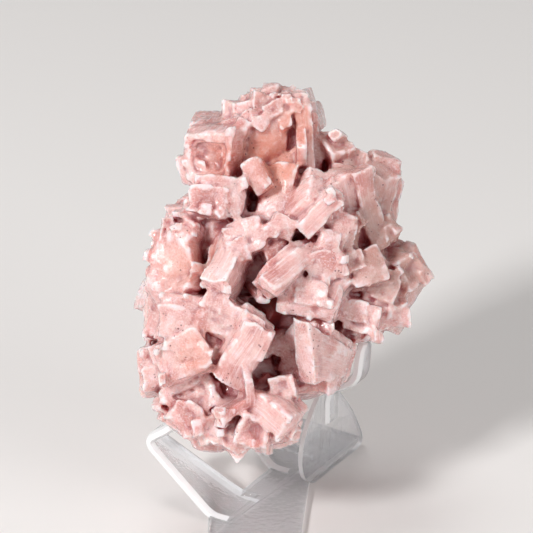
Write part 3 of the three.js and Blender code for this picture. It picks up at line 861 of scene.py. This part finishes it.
def bendAll(piece):
    data = piece.data
    spots = readVectors(data.vertices, "co") / mm
    moved = spots.copy()
    more = 1 + bends["more"] * (1 - smoothStep(bends["mostFrom"], bends["moreFrom"], spots[:, 0]))
    for turn, (size, depth) in enumerate(zip(bends["sizes"], bends["depths"])):
        for axis in range(3):
            sway = 2 * softNoise(spots, size, bends["seed"] + 3 * turn + axis) - 1
            moved[:, axis] += depth * more * sway
    data.vertices.foreach_set("co", (moved * mm).ravel())
    data.update()


def creaseShare(piece):
    # above 0 in a crease and below 0 on an edge, from how far each point lies under its neighbours
    data = piece.data
    count = len(data.vertices)
    spots = readVectors(data.vertices, "co")
    ends = np.empty(len(data.edges) * 2, dtype=np.int64)
    data.edges.foreach_get("vertices", ends)
    ends = ends.reshape(-1, 2)
    both = np.concatenate((ends, ends[:, ::-1]))
    degree = np.bincount(both[:, 0], minlength=count)

    def aroundMean(values):
        return np.bincount(both[:, 0], weights=values[both[:, 1]], minlength=count) / degree

    towards = np.stack([aroundMean(spots[:, axis]) for axis in range(3)], axis=1) - spots
    reach = np.linalg.norm(spots[ends[:, 0]] - spots[ends[:, 1]], axis=1).mean()
    share = np.sum(towards * readVectors(data.vertices, "normal"), axis=1) / reach
    softenings = 2
    for turn in range(softenings):
        share = (share + aroundMean(share)) / 2
    return share


# how open a point lies, by a fan of rays, in mm; a ray that is stopped far off still counts a little
sky = {
    "reach": 12,
    "start": 0.2,
    "rays": 14,
    "stoppedShare": 0.6,
}


def skyShare(piece):
    # the share of open space over each point, from 0 in a deep hollow to 1 on a free face
    tree = BVHTree.FromObject(piece, bpy.context.evaluated_depsgraph_get())
    golden = math.pi * (3 - math.sqrt(5))
    reach = sky["reach"] * mm
    fan = []
    for i in range(sky["rays"]):
        up = math.sqrt((i + 0.5) / sky["rays"])
        around = math.sqrt(1 - up * up)
        fan.append(Vector((math.cos(golden * i) * around, math.sin(golden * i) * around, up)))
    shares = []
    for vert in piece.data.vertices:
        turn = vert.normal.to_track_quat("Z", "Y")
        start = vert.co + vert.normal * sky["start"] * mm
        free = 0
        for ray in fan:
            place, normal, face, distance = tree.ray_cast(start, turn @ ray, reach)
            free += 1 if place is None else distance / reach * sky["stoppedShare"]
        shares.append(free / sky["rays"])
    return np.array(shares)


# where the salt is coloured otherwise, and where shade is painted on the cavities' walls: middle in the
# cluster's frame, radius and strength
tintAndShadeSpots = {
    "fade": (0.5, 1.15),     # shares of the radius where a spot starts to fade and ends
    "peach": [
        ((-22, -10, 1), 9, 0.6),
        ((-4, -6, 25), 10, 1.0),
        ((4, -6, 34), 7, 0.8),
        ((-16, -12, 26), 6, 0.55),
        ((-20, -16, -19), 7, 0.5),
    ],
    "sand": [
        ((26, -2, 6), 17, 0.85),
        ((16, 0, 26), 12, 0.75),
        ((-3, -2, 40), 8, 0.35),
    ],
    "cavityShade": [              # painted shade: the walls of the two cavities, which stay in the dark
        ((-4.2, -6, -10.2), 7.5, 0.95),
        ((-4.5, -7, -24.5), 5.5, 0.8),
    ],
}


def tintAndShadeShares(places, kind):
    total = np.zeros(len(places))
    fadeFrom, fadeTo = tintAndShadeSpots["fade"]
    for middle, radius, strength in tintAndShadeSpots[kind]:
        away = np.linalg.norm(places - np.array(middle), axis=1)
        total = np.maximum(total, strength * (1 - smoothStep(radius * fadeFrom, radius * fadeTo, away)))
    return total


def linear(hexColour):
    # an sRGB hex colour as linear red, green, blue and alpha
    parts = [int(hexColour[i:i + 2], 16) / 255 for i in (1, 3, 5)]
    return tuple(c / 12.92 if c <= 0.04045 else ((c + 0.055) / 1.055) ** 2.4 for c in parts) + (1.0,)


def newMaterial(name, surface):
    # a material whose surface has these values
    material = bpy.data.materials.new(name)
    material.use_nodes = True
    shader = material.node_tree.nodes["Principled BSDF"]
    for key, value in surface.items():
        shader.inputs[key].default_value = linear(value) if key == "Base Color" else value
    return material, material.node_tree, shader


def addNode(tree, kind, settings, inputs, output):
    # adds a node with its settings and links: each input is a value or another node's output
    node = tree.nodes.new(kind)
    for name, value in settings.items():
        setattr(node, name, value)
    for name, value in inputs.items():
        if isinstance(value, bpy.types.NodeSocket):
            tree.links.new(value, node.inputs[name])
        else:
            node.inputs[name].default_value = value
    return node.outputs[output]


# pink salt; patterns in mm, as their grain, detail and roughness
haliteLook = {
    "colours": {
        "rose": "#d4948e",
        "pale": "#efcac6",
        "crust": "#f9e8eb",
        "peach": "#dc8c72",
        "beige": "#c0958a",
        # the maroon of the painted shade in the deepest recesses, over the salt's own red
        "hollow": "#922e2c",
        "deep": "#a8434c",
        "speck": "#5c1830",
    },
    "patterns": {
        "body": (7.0, 4.0, 0.55),
        "mottle": (2.2, 5.0, 0.62),
        "sugar": (0.45, 3.0, 0.7),        # the real grains are finer; this is as fine as shows
        "patches": (4.5, 2.0, 0.5),
    },
    "striaGrain": (0.42, 0.42, 9.0),
    "striaDetail": 4.0,
    "striaRoughness": 0.6,
    "speckGrain": 1.25,
    # the colours in the order they lie: how strong each is, and what it grows with, from where to where
    "layers": [
        ("pale", 1, [("body", 0.34, 0.62)]),
        ("pale", 0.5, [("ownTint", 0.4, 1.0)]),
        ("rose", 0.4, [("mottle", 0.46, 0.3)]),
        ("crust", 0.32, [("mottle", 0.54, 0.68)]),
        ("crust", 0.5, [("stria", 0.52, 0.64)]),
        ("deep", 0.22, [("stria", 0.45, 0.32)]),
        ("crust", 0.2, [("sugar", 0.5, 0.66)]),
        ("rose", 0.2, [("sugar", 0.46, 0.3)]),
        ("peach", 0.72, [("peachy", 0, 1)]),
        ("beige", 0.8, [("sandy", 0, 1)]),
        ("crust", 0.75, [("crease", -0.03, -0.13), ("mottle", 0.34, 0.5)]),
        ("deep", 0.55, [("crease", 0.035, 0.13)]),
        # painted shade: recesses and the cavities' walls darken to deep red, then to maroon, where little
        # light reaches
        ("deep", 0.7, [("paintedRecessShade", 0.4, 0.72)]),
        ("hollow", 1, [("paintedRecessShade", 0.64, 0.88)]),
        ("speck", 0.7, [("specks", 0.24, 0.12), ("patches", 0.54, 0.66)]),
    ],
    "straight": ("peachy", "sandy"),      # these fade softly as they are, the rest get a soft curve
    "surface": {
        "IOR": 1.544,
        "Subsurface Weight": 0.8,
        "Subsurface Radius": (1.0, 0.45, 0.36),
        "Subsurface Scale": 4.2 * mm,
        "Coat Weight": 0.6,
        "Coat Roughness": 0.14,
        "Coat IOR": 1.544,
    },
    "roughness": {"From Min": 0.3, "From Max": 0.7, "To Min": 0.06, "To Max": 0.32},
    # pattern, strength and depth, from the broad lumps to the fine grain
    "bumps": [("mottle", 0.6, 0.45), ("stria", 0.8, 0.28), ("sugar", 0.6, 0.17)],
}


def naturalHalite():
    # natural pink rock salt: cloudy and lit from inside under a clear, glassy skin, with fine lines
    # along each crystal, a sugary white crust on the edges and painted shade in its recesses
    look = haliteLook
    material, tree, shader = newMaterial("naturalPinkHalite", look["surface"])
    place = addNode(tree, "ShaderNodeTexCoord", {}, {}, "Object")
    inMm = addNode(tree, "ShaderNodeMapping", {}, {"Vector": place, "Scale": (1 / mm,) * 3}, "Vector")
    field = {}
    for name in ("ownTint", "paintedRecessShade", "peachy", "sandy", "crease"):
        field[name] = addNode(tree, "ShaderNodeAttribute", {"attribute_name": name}, {}, "Fac")
    for name, (grainSize, detail, roughness) in look["patterns"].items():
        field[name] = addNode(tree, "ShaderNodeTexNoise", {}, {
            "Vector": inMm, "Scale": 1 / grainSize, "Detail": detail, "Roughness": roughness}, "Fac")
    inCrystal = addNode(tree, "ShaderNodeAttribute", {"attribute_name": "grain"}, {}, "Vector")
    along = addNode(tree, "ShaderNodeMapping", {}, {
        "Vector": inCrystal, "Scale": tuple(1 / size for size in look["striaGrain"])}, "Vector")
    field["stria"] = addNode(tree, "ShaderNodeTexNoise", {}, {
        "Vector": along, "Scale": 1.0, "Detail": look["striaDetail"],
        "Roughness": look["striaRoughness"]}, "Fac")
    field["specks"] = addNode(tree, "ShaderNodeTexVoronoi", {"feature": "F1"}, {
        "Vector": inMm, "Scale": 1 / look["speckGrain"], "Randomness": 1.0}, "Distance")

    mixShare, mixUnder, mixOver, mixed = 0, 6, 7, 2      # a colour mix's sockets, by number
    colour = linear(look["colours"]["rose"])
    for name, share, steps in look["layers"]:
        for pattern, start, full in steps:
            curve = "LINEAR" if pattern in look["straight"] else "SMOOTHSTEP"
            share = addNode(tree, "ShaderNodeMapRange", {"interpolation_type": curve}, {
                "Value": field[pattern], "From Min": start, "From Max": full, "To Max": share}, "Result")
        colour = addNode(tree, "ShaderNodeMix", {"data_type": "RGBA"}, {
            mixShare: share, mixUnder: colour, mixOver: linear(look["colours"][name])}, mixed)
    tree.links.new(colour, shader.inputs["Base Color"])
    roughness = addNode(tree, "ShaderNodeMapRange", {}, {"Value": field["mottle"], **look["roughness"]},
                        "Result")
    tree.links.new(roughness, shader.inputs["Roughness"])
    under = {}
    for pattern, strength, deep in look["bumps"]:
        normal = addNode(tree, "ShaderNodeBump", {}, {
            "Height": field[pattern], "Strength": strength, "Distance": deep * mm, **under}, "Normal")
        if not under:
            tree.links.new(normal, shader.inputs["Coat Normal"])     # the skin follows the lumps alone
        under = {"Normal": normal}
    tree.links.new(normal, shader.inputs["Normal"])
    return material


def haliteCluster():
    plan = growPlan()
    halite = grownCluster(plan)
    mapCrystals(halite, plan)
    bendAll(halite)
    halite.name = "pinkHalite"
    halite.data.name = "pinkHalite"
    smoothByAngle(halite, cluster["smoothAngle"])
    toCluster = np.array(clusterMatrix.inverted())
    local = readVectors(halite.data.vertices, "co") / mm @ toCluster[:3, :3].T + toCluster[:3, 3]
    # painted shade: points with little open space over them, and the walls of the two cavities, are coloured
    # darker
    paint(halite, "paintedRecessShade", "POINT", np.maximum(1 - skyShare(halite), tintAndShadeShares(local, "cavityShade")))
    paint(halite, "peachy", "POINT", tintAndShadeShares(local, "peach"))
    paint(halite, "sandy", "POINT", tintAndShadeShares(local, "sand"))
    paint(halite, "crease", "POINT", creaseShare(halite))
    halite.data.materials.clear()
    halite.data.materials.append(naturalHalite())
    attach(halite, "root")
    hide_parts("halite_cluster")
    print("halite made")


# the stand's sheet, its folds and its cut edges, in mm and degrees
stand = {
    "sheet": 2.4,
    "foldStart": (-17.83, -19.78),
    "foldAzimuth": 59,
    "rightFold": -9.8,
    "bendRadius": 3.2,
    "bendSteps": 9,
    "tipSteps": 9,
    "tipSweep": 78,
    "cornerRadius": 2.0,
    "cornerSteps": 5,
    "cornerShare": 0.45,
    "edgeWide": 1.15,
    "edgeDeep": 0.6,
    "edgeMostShare": 0.25,
    "panelSteps": 96,
    "capLimit": 0.99,
    "faceLimit": 0.97,
    "sideLimit": 0.2,
    "smoothAngle": 35,
}

# the sheet's flat part and its right panel, as (along, out) and (along, up) from the left fold
basePlateCorners = [(0, 0), (-10, -6), (1.5, -24.6), (29.7, -10.8), (55, -10.8), (57, 22), (47, 22), (46, 0)]
panelOutline = [(31.5, 0), (41, 0), (51.5, 0), (54.6, 1.8), (52.2, 7.4), (48.7, 13), (45.2, 17.4), (42, 21),
                (38.6, 24.4), (34.6, 24), (29.2, 19), (25.8, 13.6), (24.8, 8), (26.6, 3)]
# side views of the bent strips: out, up, near edge and far edge
strips = {
    "leftArm": [(-5, 1.35, 0.4, 15.8), (0, 1.35, 0.4, 15.8), (20.8, 14.8, 4, 10.8), (15.4, 18.8, 4, 10.4)],
    "backArm": [(-5, 1.35, 28.9, 42.4), (0, 1.35, 28.9, 42.4), (9.6, 7, 33.2, 40.6), (7.4, 23.2, 34, 40)],
    "rightFinger": [(-11, 14, 35.8, 42), (-11, 22.6, 35.8, 42), (-19.6, 27.4, 35.8, 42),
                    (-20.4, 35, 36, 41.8)],
}

# cast acrylic: the polished faces let most of the light straight through, and the cut edges gather
# and scatter it
acrylicLook = {
    "castAcrylicFaces": {
        "Base Color": "#eef3fa",
        "IOR": 1.49,
        "Transmission Weight": 1.0,
        "Roughness": 0.08,
        "Alpha": 0.42,
    },
    "castAcrylicCutEdges": {
        "Base Color": "#fdfeff",
        "IOR": 1.49,
        "Transmission Weight": 0.15,
        "Roughness": 0.22,
        "Alpha": 0.95,
    },
    "rippleGrain": 1.6,
    "rippleStretch": 0.36,
    "rippleDetail": 2.0,
    "rippleStrength": 0.8,
    "rippleDepth": 0.2,
}


def castAcrylic(name):
    # cast acrylic sheet, heat bent: clear and glassy, with the faint ripple that the heat leaves
    look = acrylicLook
    material, tree, shader = newMaterial(name, look[name])
    place = addNode(tree, "ShaderNodeTexCoord", {}, {}, "Object")
    inMm = addNode(tree, "ShaderNodeMapping", {}, {
        "Vector": place, "Scale": (1 / mm, 1 / mm, look["rippleStretch"] / mm)}, "Vector")
    ripple = addNode(tree, "ShaderNodeTexNoise", {}, {
        "Vector": inMm, "Scale": 1 / look["rippleGrain"], "Detail": look["rippleDetail"]}, "Fac")
    normal = addNode(tree, "ShaderNodeBump", {}, {
        "Height": ripple, "Strength": look["rippleStrength"],
        "Distance": look["rippleDepth"] * mm}, "Normal")
    tree.links.new(normal, shader.inputs["Normal"])
    return material


def standPoint(along, out, up):
    angle = math.radians(stand["foldAzimuth"])
    x = stand["foldStart"][0] + along * math.cos(angle) - out * math.sin(angle)
    y = stand["foldStart"][1] + along * math.sin(angle) + out * math.cos(angle)
    return Vector((x, y, up)) * mm


def standWay(along, out):
    # a direction on the stand, 1 mm long
    return standPoint(along, out, 0) - standPoint(0, 0, 0)


def finishFaces(piece, finishes, direction, limit, cutAbove=False):
    # the sheet's own faces get the first finish and its cut edges the second, told apart by their normals
    for material in finishes:
        piece.data.materials.append(material)
    for face in piece.data.polygons:
        isCut = (abs(face.normal.dot(direction)) > limit) == cutAbove
        face.material_index = 1 if isCut else 0


def filledOutline(points):
    # a filled circle with its points moved to the outline, left in edit mode and selected
    bpy.ops.mesh.primitive_circle_add(vertices=len(points), radius=1, fill_type="NGON")
    piece = bpy.context.object
    for vert, point in zip(piece.data.vertices, points):
        vert.co = point
    bpy.ops.object.mode_set(mode="EDIT")
    bpy.ops.mesh.select_all(action="SELECT")
    return piece


def flatCut(points, lift, finishes):
    # an outline drawn up by the sheet's thickness, with its edges chamfered
    piece = filledOutline(points)
    bpy.ops.mesh.extrude_region_move(TRANSFORM_OT_translate={"value": lift})
    bpy.ops.mesh.select_all(action="SELECT")
    bpy.ops.mesh.normals_make_consistent(inside=False)
    direction = Vector(lift).normalized()
    mesh = bmesh.from_edit_mesh(piece.data)
    for face in mesh.faces:
        face.select_set(abs(face.normal.dot(direction)) > stand["capLimit"])
    rim = [(vert, face.normal * -stand["edgeDeep"] * mm) for face in mesh.faces if face.select
           for vert in face.verts]
    bpy.ops.mesh.inset(thickness=stand["edgeWide"] * mm, use_boundary=True)
    for vert, sink in rim:
        vert.co += sink
    bmesh.update_edit_mesh(piece.data)
    bpy.ops.object.mode_set(mode="OBJECT")
    finishFaces(piece, finishes, direction, stand["faceLimit"])
    return piece


def roundedCorner(before, corner, after, radius, steps):
    # a short curve in place of a corner; distances are taken over the first two numbers of a point
    ends = []
    for other in (before, after):
        reach = math.hypot(other[0] - corner[0], other[1] - corner[1])
        ends.append(corner.lerp(other, min(radius / reach, stand["cornerShare"])))
    shares = [step / steps for step in range(steps + 1)]
    return [ends[0] * (1 - t) ** 2 + corner * 2 * t * (1 - t) + ends[1] * t ** 2 for t in shares]


def platePoints():
    # the base plate's outline, with rounded corners
    corners = [standPoint(along, out, 0) for along, out in basePlateCorners]
    points = []
    for i, corner in enumerate(corners):
        points += roundedCorner(corners[i - 1], corner, corners[(i + 1) % len(corners)],
                                stand["cornerRadius"] * mm, stand["cornerSteps"])
    return points


def panelPoints():
    # a smooth closed curve through the panel's outline, cut off level where it stands on the table
    count = len(panelOutline)
    points = []
    for step in range(stand["panelSteps"]):
        where = step / stand["panelSteps"] * count
        i, t = int(where), where - int(where)
        p = [Vector(panelOutline[(i + k - 1) % count]) for k in range(4)]
        curve = 0.5 * (2 * p[1] + (p[2] - p[0]) * t + (2 * p[0] - 5 * p[1] + 4 * p[2] - p[3]) * t * t
                       + (3 * p[1] - p[0] - 3 * p[2] + p[3]) * t ** 3)
        points.append(standPoint(curve.x, stand["rightFold"], max(curve.y, 0)))
    return points


def stripStations(path):
    # the strip's side view with its folds rounded and its tip narrowed to a round end
    path = [Vector(point) for point in path]
    rounded = [path[0]]
    for before, here, after in zip(path, path[1:], path[2:]):
        rounded += roundedCorner(before, here, after, stand["bendRadius"], stand["bendSteps"])
    rounded.append(path[-1])
    before, last = rounded[-2], rounded[-1]
    half, middle = (last[3] - last[2]) / 2, (last[3] + last[2]) / 2
    ahead = Vector((last[0] - before[0], last[1] - before[1])).normalized()
    for step in range(1, stand["tipSteps"] + 1):
        angle = step / stand["tipSteps"] * math.radians(stand["tipSweep"])
        spot = Vector(last[:2]) + ahead * half * math.sin(angle)
        rounded.append(Vector((spot.x, spot.y, middle - half * math.cos(angle),
                               middle + half * math.cos(angle))))
    return rounded


def stripRings(path):
    # the strip's chamfered section at each station
    stations = stripStations(path)
    half = stand["sheet"] / 2
    low = half - stand["edgeDeep"]
    rings = []
    for i, (out, up, near, far) in enumerate(stations):
        before, after = stations[max(i - 1, 0)], stations[min(i + 1, len(stations) - 1)]
        run = Vector((after[0] - before[0], after[1] - before[1])).normalized()
        cut = min(stand["edgeWide"], (far - near) * stand["edgeMostShare"])
        section = [(near, -low), (near + cut, -half), (far - cut, -half), (far, -low),
                   (far, low), (far - cut, half), (near + cut, half), (near, low)]
        rings.append([standPoint(along, out - run.y * thick, up + run.x * thick)
                      for along, thick in section])
    return rings


def bentStrip(path, finishes):
    # the section at the strip's root, extruded from station to station
    rings = stripRings(path)
    piece = filledOutline(rings[0])
    for last, ring in zip(rings, rings[1:]):
        bpy.ops.mesh.extrude_region_move()
        mesh = bmesh.from_edit_mesh(piece.data)
        for vert in [vert for vert in mesh.verts if vert.select]:
            nearest = min(range(len(last)), key=lambda k: (vert.co - last[k]).length)
            vert.co = ring[nearest]
        bmesh.update_edit_mesh(piece.data)
    bpy.ops.mesh.select_all(action="SELECT")
    bpy.ops.mesh.normals_make_consistent(inside=False)
    bpy.ops.object.mode_set(mode="OBJECT")
    finishFaces(piece, finishes, standWay(1, 0).normalized(), stand["sideLimit"], cutAbove=True)
    return piece


def acrylicStand():
    finishes = [castAcrylic("castAcrylicFaces"), castAcrylic("castAcrylicCutEdges")]
    plate = flatCut(platePoints(), (0, 0, stand["sheet"] * mm), finishes)
    panel = flatCut(panelPoints(), standWay(0, 1) * -stand["sheet"], finishes)
    whole = joinPieces(plate, [panel] + [bentStrip(path, finishes) for path in strips.values()])
    smoothByAngle(whole, stand["smoothAngle"])
    whole.name = "clearStand"
    whole.data.name = "clearStand"
    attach(whole, "root")
    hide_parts("acrylic_stand")
    print("stand made:", len(whole.data.polygons), "faces")


# what stands round the piece: a pale matte floor, in metres, and the light of a soft room
stageLook = {
    "floorSize": 6,
    "floor": {"Base Color": "#e9e6e4", "Roughness": 0.7},
    "roomColour": "#f4f2f1",
    "roomStrength": 0.28,
}


def floorAndRoom():
    bpy.ops.object.select_all(action="DESELECT")
    bpy.ops.mesh.primitive_plane_add(size=stageLook["floorSize"])
    floor = bpy.context.object
    floor.name = "floor"
    # rolled wall paint: pale, with hardly a shine
    material, tree, shader = newMaterial("matteWhitePaint", stageLook["floor"])
    floor.data.materials.append(material)
    world = bpy.data.worlds.new("softRoom")
    bpy.context.scene.world = world
    world.use_nodes = True
    room = world.node_tree.nodes["Background"]
    room.inputs["Color"].default_value = linear(stageLook["roomColour"])
    room.inputs["Strength"].default_value = stageLook["roomStrength"]


# the camera, in mm and degrees; it stands straight in front
camera = {
    "aim": (-3.86, -4.03, 60.95),
    "elevation": 25,
    "distance": 900,
    "lens": 255.3,
    "sensor": 36,
    "nearest": 0.05,
}

# square lamps that all point at the camera's aim, in metres and watts
lamps = [
    dict(name="keyLamp", place=(-0.7, -0.8, 0.8), size=0.22, power=13),
    dict(name="fillLamp", place=(0.8, -0.7, 0.5), size=0.6, power=4),
    dict(name="topLamp", place=(-0.2, 0.35, 1.1), size=0.5, power=3.5),
]


def aimed(name, data, place):
    # a lamp or the camera, set in its place and turned to the aim
    piece = bpy.data.objects.new(name, data)
    piece.location = place
    towards = Vector(camera["aim"]) * mm - piece.location
    piece.rotation_euler = towards.to_track_quat("-Z", "Y").to_euler()
    bpy.context.scene.collection.objects.link(piece)
    return piece


def addLamps():
    for lamp in lamps:
        light = bpy.data.lights.new(lamp["name"], "AREA")
        light.size = lamp["size"]
        light.energy = lamp["power"]
        aimed(lamp["name"], light, lamp["place"])


def addCamera():
    lens = bpy.data.cameras.new("camera")
    lens.lens = camera["lens"]
    lens.sensor_width = camera["sensor"]
    lens.clip_start = camera["nearest"]
    up = math.radians(camera["elevation"])
    back = Vector((0, -math.cos(up), math.sin(up))) * camera["distance"]
    bpy.context.scene.camera = aimed("camera", lens, (Vector(camera["aim"]) + back) * mm)


bpy.ops.object.select_all(action="DESELECT")
addCamera()
addLamps()
floorAndRoom()
print("stage set")
haliteCluster()
acrylicStand()

bpy.context.scene.view_settings.view_transform = "Standard"
